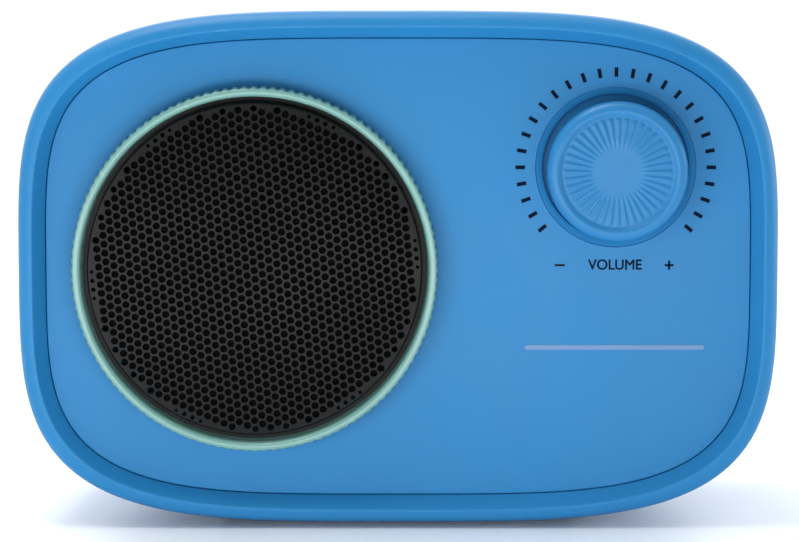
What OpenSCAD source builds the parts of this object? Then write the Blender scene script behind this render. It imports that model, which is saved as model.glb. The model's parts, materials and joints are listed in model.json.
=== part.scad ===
// Retro-style portable radio: a rounded cabinet with a loudspeaker on the left, a volume
// knob on the right, and its tuning, switches, sockets, batteries and aerial at the back.
// Frame: +X right, +Z up, the front faces -Y. The origin is on the surface that the radio
// stands on, under the middle of its depth. Millimetres.

/* [Cabinet] */
// Width across the front rim
case_w = 160; // [156:1:166]
// Height across the front rim
case_h = 108.4; // [106:0.2:112]
// Depth from the front rim to the back face
case_d = 62; // [62:0.5:66]
// Squareness of the rounded outline (2 is an ellipse)
squareness = 3.8; // [3.6:0.1:4.4]
// Thickness of the cabinet wall
wall = 2.4; // [1.8:0.1:2.6]
// Angle by which the sides narrow toward the back
side_draft = 7; // [6:0.5:7.5]
// Angle by which the underside rises toward the back
base_draft = 1.5; // [1:0.5:3]
// Gap between the rim's lowest point and the surface below
base_gap = 1; // [0.8:0.1:1.6]

/* [Front panel] */
// Width of the rim around the panel
rim_w = 5.7; // [5:0.1:6.5]
// Depth of the panel's face behind the rim
panel_y = 4.5; // [4:0.1:5]
// Thickness of the panel
panel_t = 2.5; // [2:0.1:2.8]

/* [Loudspeaker] */
// Distance of the speaker left of the middle
speaker_off = 30.2; // [29:0.1:31]
// Outer radius of the trim ring
trim_r = 38.6; // [38:0.1:39.2]
// Width of the trim ring's face
trim_w = 2; // [1.5:0.1:2.4]
// Number of serrations round the trim ring
trim_teeth = 120; // [90:2:150]

/* [Volume knob] */
// Distance of the knob right of the middle
knob_x = 45.8; // [44:0.1:47]
// Height of the knob above the middle
knob_z = 21.3; // [20.5:0.1:22]
// Radius of the knob
knob_r = 14.7; // [13:0.1:15]
// Number of ribs on the knob's face
knob_ribs = 40; // [24:2:48]
// Angle between the dial marks
mark_step = 10; // [10:5:20]

/* [Hidden] */

STEPS = 120;         // points round the cabinet's outline
gap = 0.3;           // room between pieces that move
rim_y = 3.5;         // depth at which the cabinet is widest
taper_y = 6;         // depth at which it starts to narrow
crest_in = 3;        // inset of the rim's front edge
split_y = 52;        // joint between the cabinet and the back cover
cover_t = 3;         // thickness of the back cover
knob_proud = 6;      // how far the volume knob stands in front of the rim
tuner_proud = 1;     // how far the tuning knob stands behind the back face
half_w = case_w / 2;
half_h = case_h / 2;
case_z = base_gap + half_h;
case_y = -(case_d + tuner_proud - knob_proud) / 2;
panel_back = panel_y + panel_t;
dish_y = panel_y + 1.8;
panel_n = squareness + 0.2;
ledge_in = rim_w + 1.1;
inner_y = case_d - cover_t;

// Loudspeaker
spk = [-speaker_off, 0];
speaker_y = 1.5;     // where the loudspeaker's own depths are counted from
mouth_r = 34.6;      // hole in the panel
flange_y = 6.8;      // front face of the basket's flange
flange_r = 37;
ear_r = 41;          // radius of the speaker screws' circle
screw_r = 1.3;

// Posts moulded on the panel's back that the case screws enter
POSTS = [[-64, 22], [-57, -37.5], [64, 20], [57, -37.5]];
post_r = 3;

// Main board: it stands across the depth, behind the volume knob
board_y = 45;
board_t = 1.6;
board_x = [15, 59];
board_z = [-33, 30];
BOARD_HOLES = [[18.5, -29.5], [55.5, -29.5], [18.5, 12], [55.5, 12]];

// Rear controls and sockets
tuner = [37, 4];
power_at = [26, -17.5];
band_at = [48, -17.5];
jack_at = [26, -28];
usb_at = [48, -28];
slide_travel = 3.5;

// Battery compartment: four AA cells lie across it, one above the other
cell_r = 7.25;
cell_pitch = 15;
tray_x = [-52, 9];
tray_z = [-40, 23.8];
tray_t = 1.6;
tray_y = 41.6;
cell_y = 51.2;
tray_mid = (tray_x[0] + tray_x[1]) / 2;
CELL_Z = [for (i = [0:3]) (tray_z[0] + tray_z[1]) / 2 + (i - 1.5) * cell_pitch];
door_t = 2.4;
hinge_r = 1.2;
hinge_z = tray_z[0] + 0.8 + hinge_r;

// Aerial: it lies in a rebate along the top edge of the back
aerial = [50, 58.8, 31.5];
rebate_y = 54;
rebate_z = 27.5;
tube_r = [2.8, 2.25, 1.7];
swivel_r = 3.6;
aerial_l = 96;

function draft(y, angle) = tan(angle) * max(0, y - taper_y);
function inset(y) = draft(y, side_draft);
function drop(y) = inset(y) - draft(y, base_draft);

// Rounded outline with half sizes a and b, as points in the plane
function outline(a, b, n = squareness) = [for (i = [0:STEPS - 1])
  let (c = cos(360 * i / STEPS), s = sin(360 * i / STEPS))
  [a * sign(c) * pow(abs(c), 2 / n), b * sign(s) * pow(abs(s), 2 / n)]];

// The outline inset by e, at depth y, as points in space
function ring(e, y, n = squareness) =
  [for (p = outline(half_w - e, half_h - e, n)) [p[0], y, p[1] - drop(y)]];

// Faces between neighbouring rings; a closed skin joins the last ring to the first
function band_faces(rings, n, closed) = [for (i = [0:rings - (closed ? 1 : 2)])
  for (j = [0:n - 1])
    let (a = i * n + j, b = i * n + (j + 1) % n,
         c = ((i + 1) % rings) * n + (j + 1) % n, d = ((i + 1) % rings) * n + j)
    each [[a, b, c], [a, c, d]]];

module skin(rings, closed = false) {
  n = len(rings[0]);
  count = len(rings);
  first_cap = [for (j = [n - 1:-1:0]) j];
  last_cap = [for (j = [0:n - 1]) (count - 1) * n + j];
  polyhedron([for (r = rings) each r],
    concat(band_faces(count, n, closed), closed ? [] : [first_cap, last_cap]));
}

// Moves a piece from the case's own axes (front rim at y = 0, middle at z = 0) to the frame
module in_case() translate([0, case_y, case_z]) children();

// The same for the loudspeaker, which has depths of its own
module in_speaker() in_case() translate([0, speaker_y, 0]) children();

// A flat outline, drawn in X and Z, made solid from y0 to y1
module plate(y0, y1) translate([0, y1, 0]) rotate([90, 0, 0]) linear_extrude(y1 - y0) children();

// A cylinder along the depth
module rod(at, y0, y1, r, fn = 48)
  translate([at[0], y0, at[1]]) rotate([-90, 0, 0]) cylinder(h = y1 - y0, r = r, $fn = fn);

// A ring along the depth
module sleeve(at, y0, y1, r, bore) difference() {
  rod(at, y0, y1, r);
  rod(at, y0 - 1, y1 + 1, bore);
}

// A profile of [radius, depth] points turned about the depth axis
module turned(at, points)
  translate([at[0], 0, at[1]]) rotate([-90, 0, 0]) rotate_extrude($fn = 96) polygon(points);

// A block between two corners
module block(a, b) translate(a) cube(b - a);

// A slot outline with round ends
module slot2d(at, w, h) translate(at) {
  square([w - h, h], center = true);
  for (s = [-1, 1]) translate([s * (w - h) / 2, 0]) circle(d = h, $fn = 32);
}

// Tube swept along a route, with its rings square to the route
function unit(v) = v / norm(v);
function sweep_rings(route, r, sides) = [for (i = [0:len(route) - 1])
  let (ahead = route[min(i + 1, len(route) - 1)], behind = route[max(i - 1, 0)],
       t = unit(ahead - behind), u = unit(cross(t, abs(t[0]) < 0.9 ? [1, 0, 0] : [0, 0, 1])),
       v = cross(t, u))
  [for (k = [0:sides - 1]) route[i] + r * (cos(360 * k / sides) * v + sin(360 * k / sides) * u)]];
module swept(route, r, sides = 8) skin(sweep_rings(route, r, sides));

// Smooth route through hand-chosen points
function blend_at(p, i, t) = let (a = p[max(i - 1, 0)], b = p[i], c = p[i + 1],
  d = p[min(i + 2, len(p) - 1)])
  0.5 * (2 * b + (c - a) * t + (2 * a - 5 * b + 4 * c - d) * t * t
    + (3 * b - a - 3 * c + d) * t * t * t);
function smooth(p, parts = 4) = concat(
  [for (i = [0:len(p) - 2]) for (k = [0:parts - 1]) blend_at(p, i, k / parts)], [p[len(p) - 1]]);

// ---- Casing ----

module cabinet() {
  lip = [for (a = [0:15:90]) ring(crest_in * (1 - sin(a)), rim_y * (1 - cos(a)))];
  back = inset(split_y);
  shell = concat(lip, [
    ring(0, taper_y), ring(back, split_y), ring(back + wall, split_y),
    ring(inset(panel_back + 2) + wall, panel_back + 2), ring(ledge_in, panel_back + 2),
    ring(ledge_in, panel_back), ring(rim_w - 0.15, panel_back, panel_n),
    ring(rim_w - 0.15, panel_y + 0.1, panel_n), ring(crest_in + 0.4, 0.2)]);
  color("steelblue") in_case() skin(shell, closed = true);
}

module front_panel() color("cornflowerblue") in_case() difference() {
  union() {
    plate(panel_y, panel_back) polygon(outline(half_w - rim_w, half_h - rim_w, panel_n));
    rod([knob_x, knob_z], panel_back - 0.1, panel_back + 1.6, 18);
    for (p = POSTS) rod(p, panel_back - 0.1, split_y + 0.8, post_r);
    for (p = BOARD_HOLES) rod(p, panel_back - 0.1, board_y, 2.8);
    for (a = [45:90:315]) rod(spk + ear_r * [cos(a), sin(a)], panel_back - 0.1, speaker_y + flange_y, 3.2);
    for (x = [-30, 0, 30], s = [-1, 1]) clip(x, s);
  }
  rod(spk, 0, 20, mouth_r, 96);
  turned([knob_x, knob_z],
    [[0, panel_y - 1], [16.8, panel_y - 1], [16.6, panel_y], [15.3, dish_y], [0, dish_y]]);
  rod([knob_x, knob_z], panel_y, panel_back + 3, 4.6);
  for (p = POSTS) rod(p, 38, 60, screw_r);
  for (p = BOARD_HOLES) rod(p, 36, 60, 1);
  for (a = [45:90:315]) rod(spk + ear_r * [cos(a), sin(a)], panel_y + 0.9, 12, screw_r);
}

// Snap tab that hooks behind the cabinet's ledge
module clip(x, s) {
  z = s * (half_h - ledge_in - 2.2);
  translate([x - 4, panel_back - 0.1, z - 0.8]) cube([8, 4.1, 1.6]);
  translate([x - 4, panel_back + 2.2, z - 0.8 + (s > 0 ? 0 : -2)]) cube([8, 1.8, 3.6]);
}

module back_cover() color("steelblue") in_case() difference() {
  union() {
    difference() {
      skin([for (s = [[0, 0], [4, 0.6], [6.5, 1.7], [8.3, 3.2], [9.4, 4.9], [10, 7]])
        ring(inset(split_y) + s[1], split_y + s[0])]);
      plate(split_y - 1, inner_y) intersection() {
        translate([0, -drop(split_y)])
          polygon(outline(half_w - inset(split_y) - 4.5, half_h - inset(split_y) - 4.5));
        translate([-80, -60]) square([160, 60 + rebate_z - 2.5]);
      }
    }
    for (p = POSTS) rod(p, split_y + 1, inner_y + 0.5, 4.2);
    rod(tuner, 55.6, inner_y + 0.5, 17.5);
    for (x = [-38, 38]) block([x - 5, split_y - 3, -47.6], [x + 5, split_y + 1, -45.6]);
  }
  for (p = POSTS) {
    rod(p, 50, 70, screw_r + 0.15);
    rod(p, 55, 70, 3);
    rod(p, 50, split_y + 1, post_r + 0.2);
  }
  block([-70, rebate_y, rebate_z], [70, 70, 60]);
  rod([aerial[0], aerial[2]], 50, 60, 2.06);
  block([tray_x[0] - 0.8, 58, hinge_z - hinge_r - gap], [tray_x[1] + 0.8, 64, tray_z[1] + 0.7]);
  for (x = [tray_x[0] - 2.4, tray_x[1] + 0.2])
    translate([x, case_d - hinge_r, hinge_z]) rotate([0, 90, 0])
      cylinder(h = 2.2, r = 0.68, $fn = 24);
  translate([tray_mid, case_d + 2.5, tray_z[1] + 0.7]) sphere(r = 5, $fn = 32);
  turned(tuner, [[0, 57.6], [14.6, 57.6], [15.6, case_d], [15.6, 64], [0, 64]]);
  rod(tuner, 50, 60, 3.3);
  for (at = [power_at, band_at]) plate(50, 64) slot2d(at + [slide_travel / 2, 0], 13, 5);
  rod(jack_at, 50, 64, 4.2);
  plate(50, 64) slot2d(usb_at, 9.8, 4.1);
}

module battery_door() color("steelblue") in_case() difference() {
  x0 = tray_x[0] - 0.5;
  x1 = tray_x[1] + 0.5;
  union() {
    block([x0, case_d - door_t, hinge_z], [x1, case_d, tray_z[1] + 0.4]);
    translate([x0, case_d - hinge_r, hinge_z]) rotate([0, 90, 0])
      cylinder(h = x1 - x0, r = hinge_r, $fn = 32);
    translate([x0 - 1.4, case_d - hinge_r, hinge_z]) rotate([0, 90, 0])
      cylinder(h = x1 - x0 + 2.8, r = 0.6, $fn = 24);
  }
  translate([tray_mid, case_d + 2.5, tray_z[1] + 0.7]) sphere(r = 5, $fn = 32);
  for (k = [0:4]) block([tray_mid - 9, case_d - 0.5, tray_z[1] - 9 + 1.6 * k],
    [tray_mid + 9, case_d + 1, tray_z[1] - 8.2 + 1.6 * k]);
}

module trim_ring() color("lightseagreen") in_case() difference() {
  tooth = 0.45;
  plate(-0.5, panel_y) translate(spk) polygon([for (i = [0:trim_teeth - 1]) for (k = [0:3])
    let (r = trim_r - (k == 0 || k == 3 ? tooth : 0), a = 360 * (i + k * 0.28) / trim_teeth)
    r * [cos(a), sin(a)]]);
  rod(spk, -2, panel_y + 1, trim_r - trim_w, 96);
}

// Dished face of the grille: height above the flange at radius r
grille_r = trim_r - trim_w - 0.3;
grille_t = 0.6;
cap_r = grille_r - 1;
cap_y = 1.6;
function dome(r) = cap_y - 1.7 * (1 - pow(r / cap_r, 2));
DOME_R = [0, 8, 15, 21, 26, 30, mouth_r - 0.8];

// Drawn metal cap: domed face, upright wall and a flange that lies on the panel
module speaker_grille() color("dimgray") in_case()
  turned(spk, concat([for (r = DOME_R) [r, dome(r)]], [[cap_r - 0.5, cap_y], [cap_r, cap_y + 0.5],
    [cap_r, panel_y - grille_t], [grille_r, panel_y - grille_t], [grille_r, panel_y],
    [cap_r - grille_t, panel_y], [cap_r - grille_t, cap_y + grille_t]],
    [for (i = [6:-1:0]) [DOME_R[i], dome(DOME_R[i]) + grille_t]]));

module grille_cloth() color("black") in_case()
  turned(spk, concat([for (r = DOME_R) [r, dome(r) + grille_t]],
    [for (i = [6:-1:0]) [DOME_R[i], dome(DOME_R[i]) + grille_t + 0.3]]));

module dial_marks() color("black") in_case()
  for (a = [-130:mark_step:130])
    translate([knob_x, panel_y - 0.1, knob_z]) rotate([0, a, 0])
      translate([-0.39, 0, 19.1]) cube([0.78, 0.1, 2]);

// Generic function lettering made of straight strokes on a 4 by 6 grid
LETTER_V = [[[0, 6], [2, 0]], [[2, 0], [4, 6]]];
LETTER_O = [[[0, 1], [0, 5]], [[4, 1], [4, 5]], [[1, 6], [3, 6]], [[1, 0], [3, 0]],
  [[0, 5], [1, 6]], [[3, 6], [4, 5]], [[4, 1], [3, 0]], [[1, 0], [0, 1]]];
LETTER_L = [[[0, 6], [0, 0]], [[0, 0], [3.6, 0]]];
LETTER_U = [[[0, 6], [0, 1]], [[4, 6], [4, 1]], [[1, 0], [3, 0]], [[0, 1], [1, 0]], [[3, 0], [4, 1]]];
LETTER_M = [[[0, 0], [0, 6]], [[0, 6], [2, 2]], [[2, 2], [4, 6]], [[4, 6], [4, 0]]];
LETTER_E = [[[0, 6], [0, 0]], [[0, 6], [3.6, 6]], [[0, 3], [3.2, 3]], [[0, 0], [3.6, 0]]];
WORD = [LETTER_V, LETTER_O, LETTER_L, LETTER_U, LETTER_M, LETTER_E];

module stroke(a, b, w) translate(a) rotate(atan2(b[1] - a[1], b[0] - a[0]))
  translate([-w / 2, -w / 2]) square([norm(b - a) + w, w]);

module volume_legend() color("black") in_case() plate(panel_y - 0.1, panel_y) {
  unit_l = 0.36;
  legend_z = 0.55;
  for (i = [0:len(WORD) - 1]) translate([knob_x - 5.75 + i * 2.02, legend_z - 1.1])
    for (s = WORD[i]) stroke(s[0] * unit_l, s[1] * unit_l, 0.42);
  for (side = [-1, 1]) translate([knob_x + side * 11.7, legend_z])
    square([2.1, 0.45], center = true);
  translate([knob_x + 11.7, legend_z]) square([0.45, 2.1], center = true);
}

module badge_bar() color("lightsteelblue") in_case()
  plate(panel_y - 0.1, panel_y) slot2d([knob_x, -17], 38, 1);

module rubber_feet() color("black") in_case()
  for (x = [-33, 33], at = [[21, -51.9], [45, -51.4]])
    translate([x, at[0], -case_z]) cylinder(h = case_z + at[1], r = 5, $fn = 48);

// Pan-head screw with a cross recess, its head toward +Y
module screw(at, y0, y_head, r, head_r, head_h) difference() {
  union() {
    rod(at, y0, y_head + 0.1, r, 24);
    turned(at, [[0, y_head], [head_r, y_head], [head_r, y_head + head_h * 0.5],
      [head_r * 0.7, y_head + head_h], [0, y_head + head_h]]);
  }
  for (a = [0, 90]) translate([at[0], y_head + head_h, at[1]]) rotate([0, a, 0])
    cube([head_r * 1.1, head_h, head_r * 0.24], center = true);
}

module case_screws() color("silver") in_case()
  for (p = POSTS) screw(p, 42, 55, screw_r - 0.05, 2.6, 1.8);

// ---- Loudspeaker ----

module speaker_gasket() color("black") in_speaker()
  sleeve(spk, panel_back - speaker_y, flange_y, flange_r - 0.3, mouth_r + 0.2);

module speaker_basket() color("gray") in_speaker() difference() {
  union() {
    turned(spk, [[33.4, flange_y], [flange_r, flange_y], [flange_r, 8], [35, 8], [25.5, 23.1],
      [24.5, 24], [10.9, 24], [10.9, 23.1], [24, 23.1], [25.2, 21], [25.2, 20.5], [33.4, 8]]);
    for (a = [45:90:315]) rod(spk + ear_r * [cos(a), sin(a)], flange_y, 8, 3.6);
    for (a = [45:90:315]) translate([spk[0], flange_y, spk[1]]) rotate([0, -a, 0])
      translate([35.6, 0, -3]) cube([4, 1.2, 6]);
  }
  for (a = [45:90:315]) rod(spk + ear_r * [cos(a), sin(a)], 6, 9, 1.6);
  for (a = [0:60:300]) translate([spk[0], 9.6, spk[1]]) rotate([0, a, 0])
    translate([20, 0, -8]) cube([20, 10, 16]);
}

module speaker_top_plate() color("silver") in_speaker() sleeve(spk, 24, 27, 21.5, 10.9);
module speaker_magnet() color("dimgray") in_speaker() sleeve(spk, 27, 34.5, 22.5, 13);
module speaker_yoke() color("silver") in_speaker()
  turned(spk, [[0, 24], [8.6, 24], [9.1, 24.6], [9.1, 34.5], [20.5, 34.5], [20.5, 36.4],
    [19.3, 37.6], [0, 37.6]]);

// Half-roll between two radii, bulging toward the front
function roll(r0, r1, y, h, from = 0, to = 180) = [for (a = [from:15:to])
  [(r0 + r1) / 2 - (r1 - r0) / 2 * cos(a), y - h * sin(a)]];

module cone_surround() color("black") in_speaker() {
  inner = roll(29, 33, 6.8, 1.9);
  outer = roll(28.6, 33.4, 6.8, 2.3);
  turned(spk, concat([[27.4, 6.3]], outer, [[34.4, 6.5], [34.4, 6.8]],
    [for (i = [len(inner) - 1:-1:0]) inner[i]], [[27.4, 6.8]]));
}

module speaker_cone() color("darkslategray") in_speaker()
  turned(spk, [[10.1, 16.4], [17, 12.2], [24, 8.6], [28.2, 6.85], [28.9, 6.85], [28.9, 7.4],
    [24.3, 9.3], [17.4, 12.9], [10.9, 16.9], [10.9, 18.4], [10.1, 18.4]]);

module dust_cap() color("black") in_speaker() {
  cap = [for (r = [0:2:10]) [r, 11.6 + 2.3 * pow(r / 10, 2)]];
  turned(spk, concat(cap, [[11.6, 15.1]], [for (i = [5:-1:0]) cap[i] + [0, 0.4]]));
}

module voice_coil() color("darkgoldenrod") in_speaker() {
  sleeve(spk, 18.4, 28.2, 9.8, 9.5);
  sleeve(spk, 22.6, 27.6, 10.3, 9.8);
  sleeve(spk, 18.4, 19, 10.9, 9.5);
}

module speaker_spider() color("goldenrod") in_speaker() {
  wave = [for (i = [0:12]) [11.2 + i, 19.6 + 0.6 * sin(i * 90)]];
  turned(spk, concat([[9.85, 19.6]], wave, [[25, 19.6], [25, 20]],
    [for (i = [12:-1:0]) wave[i] + [0, 0.4]], [[9.85, 20]]));
}

module speaker_terminals() color("peru") in_speaker() {
  block([spk[0] - 7, 24.2, -30.5], [spk[0] + 7, 25.6, -22.6]);
  for (s = [-1, 1]) {
    block([spk[0] + s * 4.5 - 1.2, 25.6, -30], [spk[0] + s * 4.5 + 1.2, 26, -23.4]);
    block([spk[0] + s * 4.5 - 1.2, 25.9, -30], [spk[0] + s * 4.5 + 1.2, 30.5, -29.6]);
  }
}

module speaker_screws() color("silver") in_speaker() for (a = [45:90:315])
  screw(spk + ear_r * [cos(a), sin(a)], 4.1, 8, screw_r - 0.05, 2.5, 1.7);

// ---- Volume control ----

module volume_knob() color("deepskyblue") in_case() {
  at = [knob_x, knob_z];
  face = -knob_proud + 1.1;
  rounding = [for (a = [0:15:90])
    [knob_r - 1.9 * (1 - cos(a)), -knob_proud + 2.6 * (1 - sin(a))]];
  difference() {
    turned(at, concat([[0, face + 2], [9, face + 2], [9, dish_y - 0.6], [knob_r, dish_y - 0.6]], rounding,
      [[12.5, -knob_proud + 0.2], [12, face], [0, face]]));
    rod(at, face + 1.6, face + 3, 3);
  }
  sleeve(at, face + 1.9, 1.2, 5.4, 3);
  for (i = [0:knob_ribs - 1]) translate([at[0], face, at[1]])
    rotate([0, 360 * i / knob_ribs, 0]) translate([5.4, -0.45, -0.22]) cube([6.4, 0.6, 0.44]);
}

module volume_shaft() color("silver") in_case()
  rod([knob_x, knob_z], -knob_proud + 2.7, 15.3, 3);

module volume_pot() color("silver") in_case() {
  at = [knob_x, knob_z];
  difference() {
    union() {
      rod(at, dish_y - 2.9, 10, 4.5);
      rod(at, panel_back + 1.6, 17.5, 8.6, 64);
      block([at[0] - 5, panel_back + 1.6, at[1] - 12.5], [at[0] + 5, 10.7, at[1] - 7]);
    }
    rod(at, 0, 15.5, 3.05);
  }
  for (s = [-1, 0, 1])
    block([at[0] + 4 * s - 0.6, 9.5, at[1] - 16], [at[0] + 4 * s + 0.6, 10, at[1] - 12]);
}

module pot_nut() color("silver") in_case() {
  at = [knob_x, knob_z];
  difference() {
    union() {
      rod(at, dish_y - 2.5, dish_y - 0.5, 6.35, 6);
      rod(at, dish_y - 0.5, dish_y, 7.4);
    }
    rod(at, 0, 9, 4.52);
  }
}

// ---- Main board ----

module main_board() color("darkgreen") in_case() difference() {
  block([board_x[0], board_y, board_z[0]], [board_x[1], board_y + board_t, board_z[1]]);
  for (p = BOARD_HOLES) rod(p, 40, 50, 1.4, 24);
}

module board_screws() color("silver") in_case()
  for (p = BOARD_HOLES) screw(p, 38, board_y + board_t, 0.95, 2, 1.3);

module tuning_capacitor() color("gainsboro") in_case() difference() {
  union() {
    block([tuner[0] - 10, board_y + board_t, tuner[1] - 10], [tuner[0] + 10, 53.6, tuner[1] + 10]);
    rod(tuner, 53, 55, 4.6);
  }
  rod(tuner, 50, 60, 2.55);
}
module tuning_shaft() color("goldenrod") in_case() rod(tuner, 50.4, 61.6, 2.5);

module tuning_knob() color("deepskyblue") in_case() difference() {
  top = case_d + tuner_proud;
  plate(58, top) translate(tuner) polygon([for (i = [0:59]) for (k = [0:3])
    let (r = k == 0 || k == 3 ? 12 : 12.5, a = 6 * (i + 0.27 * k)) r * [cos(a), sin(a)]]);
  turned(tuner, [[0, top - 0.7], [9.6, top - 0.7], [10.2, top], [10.2, 70], [0, 70]]);
  rod(tuner, 57, 61.6, 2.5);
  block([tuner[0] - 0.5, top - 1.2, tuner[1] + 4], [tuner[0] + 0.5, 70, tuner[1] + 9]);
}

rod_at = [33, 25];   // depth and height of the ferrite rod
module ferrite_rod() color("dimgray") in_case()
  translate([0, rod_at[0], rod_at[1]]) rotate([0, 90, 0]) cylinder(h = 58, r = 4, $fn = 48);
module aerial_coil() color("chocolate") in_case() for (x = [[24, 38], [41, 46]])
  translate([x[0], rod_at[0], rod_at[1]]) rotate([0, 90, 0]) difference() {
    cylinder(h = x[1] - x[0], r = 4.9, $fn = 48);
    translate([0, 0, -1]) cylinder(h = 30, r = 4.05, $fn = 48);
  }
module rod_clips() color("ivory") in_case() for (x = [18, 50]) difference() {
  block([x - 2, rod_at[0] - 2, rod_at[1] - 5.5], [x + 2, board_y, rod_at[1] + 4.9]);
  translate([x - 3, rod_at[0], rod_at[1]]) rotate([0, 90, 0]) cylinder(h = 6, r = 4.05, $fn = 48);
  block([x - 3, rod_at[0] + 6, rod_at[1] - 3.5], [x + 3, board_y - 2, rod_at[1] + 3]);
}

// Parts on the board's front face stand toward the panel
module can(at, w, h, core) {
  block([at[0] - w / 2, board_y - h, at[1] - w / 2], [at[0] + w / 2, board_y, at[1] + w / 2]);
  rod(at, board_y - h - 0.4, board_y - h + 0.1, core, 24);
}
module if_transformers() color("silver") in_case()
  for (at = [[24, -22], [24, -9], [24, 4], [38, -20.5]]) can(at, 9, 11, 2.2);

module transistors() color("black") in_case()
  for (at = [[34, 6], [43, 6], [34, -4], [43, -4], [52, -4]]) {
    plate(board_y - 7, board_y - 2.4) translate(at) intersection() {
      circle(r = 2.4, $fn = 32);
      translate([-3, -1.2]) square([6, 4]);
    }
    for (s = [-1, 0, 1]) block([at[0] + s * 1.2 - 0.2, board_y - 2.5, at[1] - 0.2],
      [at[0] + s * 1.2 + 0.2, board_y, at[1] + 0.2]);
  }

module amplifier_chip() color("black") in_case() {
  block([45, board_y - 4.3, -24.5], [55, board_y - 0.9, -18.1]);
  for (i = [0:3], s = [-1, 1]) translate([46.2 + i * 2.54, board_y, -21.3 + s * 3.5])
    translate([-0.3, -2.5, -0.3]) cube([0.6, 2.5, 0.6]);
}

module capacitors() color("navy") in_case() {
  for (c = [[33, -29.5, 3.1, 11], [39.5, -29.5, 2.5, 9], [47.5, -29, 3.6, 13], [52, 5, 3.1, 11]])
    rod([c[0], c[1]], board_y - c[3], board_y, c[2]);
  for (at = [[34, -14], [40, -14], [46, -14], [29, 14]])
    block([at[0] - 2, board_y - 4.5, at[1] - 0.8], [at[0] + 2, board_y, at[1] + 0.8]);
}

module resistors() color("tan") in_case()
  for (i = [0:3]) translate([33.6 + 4.2 * i, board_y - 1.7, 17]) {
    translate([0, 0, -3]) cylinder(h = 6, r = 1.1, $fn = 24);
    translate([0, 0, -5]) cylinder(h = 10, r = 0.3, $fn = 16);
    for (z = [-4.9, 4.9]) translate([0, 0, z]) rotate([-90, 0, 0])
      cylinder(h = 1.7, r = 0.3, $fn = 16);
  }

// ---- Switches and sockets ----

module switch_body(at) difference() {
  block([at[0] - 4.5, board_y + board_t, at[1] - 3.2], [at[0] + 4.5 + slide_travel, 51.6, at[1] + 3.2]);
  block([at[0] - 2, 49.6, at[1] - 1.1], [at[0] + 2 + slide_travel, 55, at[1] + 1.1]);
}
// Slider: stem in the switch, flange under the cover, ribbed cap through the slot
module slider(at) difference() {
  union() {
    block([at[0] - 1.5, 50, at[1] - 0.8], [at[0] + 1.5, 57.4, at[1] + 0.8]);
    block([at[0] - 7, 57.2, at[1] - 3], [at[0] + 7, 58.4, at[1] + 3]);
    plate(58.2, case_d + 0.3) slot2d(at, 8.6, 4.2);
  }
  for (k = [-1:1]) block([at[0] + 1.4 * k - 0.35, case_d - 0.3, at[1] - 3],
    [at[0] + 1.4 * k + 0.35, case_d + 1, at[1] + 3]);
}
module power_switch() color("silver") in_case() switch_body(power_at);
module band_switch() color("silver") in_case() switch_body(band_at);
module power_slider() color("black") in_case() slider(power_at);
module band_slider() color("black") in_case() slider(band_at);

jack_r = 1.8;
jack_l = 14.5;
module aux_jack() color("black") in_case() difference() {
  union() {
    block([jack_at[0] - 5, board_y + board_t, jack_at[1] - 5], [jack_at[0] + 5, 58.6, jack_at[1] + 5]);
    rod(jack_at, 58, case_d - 0.4, 4);
  }
  rod(jack_at, case_d - 0.4 - jack_l, case_d + 2, jack_r);
}

module usb_port() color("silver") in_case() {
  difference() {
    plate(board_y + board_t, case_d - 0.4) slot2d(usb_at, 9, 3.3);
    plate(54, case_d + 1) slot2d(usb_at, 8.3, 2.6);
  }
  block([usb_at[0] - 3.2, 53.9, usb_at[1] - 0.35], [usb_at[0] + 3.2, case_d - 1.2, usb_at[1] + 0.35]);
}

// ---- Batteries ----

module battery_tray() color("dimgray") in_case() difference() {
  union() {
    block([tray_x[0], tray_y, tray_z[0]], [tray_x[1], inner_y, tray_z[1]]);
    block([tray_x[0], inner_y - 1.4, tray_z[0] - 1.5], [tray_x[1] + 1.2, inner_y, tray_z[1]]);
  }
  block([tray_x[0] + tray_t, tray_y + tray_t, tray_z[0] + tray_t],
    [tray_x[1] - tray_t, inner_y + 1, tray_z[1] - tray_t]);
}

// Even cells point right, odd cells point left
function cell_way(i) = i % 2 == 0 ? 1 : -1;
module battery_cells() color("darkgoldenrod") in_case()
  for (i = [0:3]) translate([tray_mid - cell_way(i) * 0.8, cell_y, CELL_Z[i]])
    rotate([0, 90 * cell_way(i), 0]) rotate_extrude($fn = 64) polygon([[0, -24.6],
      [5, -24.6], [5, -24.3], [6.6, -24.3], [cell_r, -23.6], [cell_r, 23.6], [6.6, 24.3],
      [2.7, 24.3], [2.7, 25.5], [2.3, 25.8], [0, 25.8]]);

// Conical springs press on the flat ends of the cells
spring_l = 2.4;
module battery_springs() color("silver") in_case()
  for (i = [0:3]) translate([tray_mid, cell_y, CELL_Z[i]]) rotate([0, cell_way(i) * 90, 0])
    swept([for (k = [0:40]) let (a = 36 * k, f = k / 40, r = 4.6 - 2.2 * f)
      [r * cos(a), r * sin(a), -28.15 + spring_l * f]], 0.3, 6);

module battery_contacts() color("silver") in_case() {
  for (i = [0:3]) translate([tray_mid, cell_y, CELL_Z[i]]) rotate([0, cell_way(i) * 90, 0]) {
    translate([-5, -5, 28.5]) cube([10, 10, 0.4]);
    translate([-5, -5, 25.05]) cube([10, 10, 0.4]);
    translate([-5, -5, -28.9]) cube([10, 10, 0.4]);
    translate([-5, 4.6, 25.1]) cube([10, 0.4, 3.6]);
  }
}

// ---- Aerial ----

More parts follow.
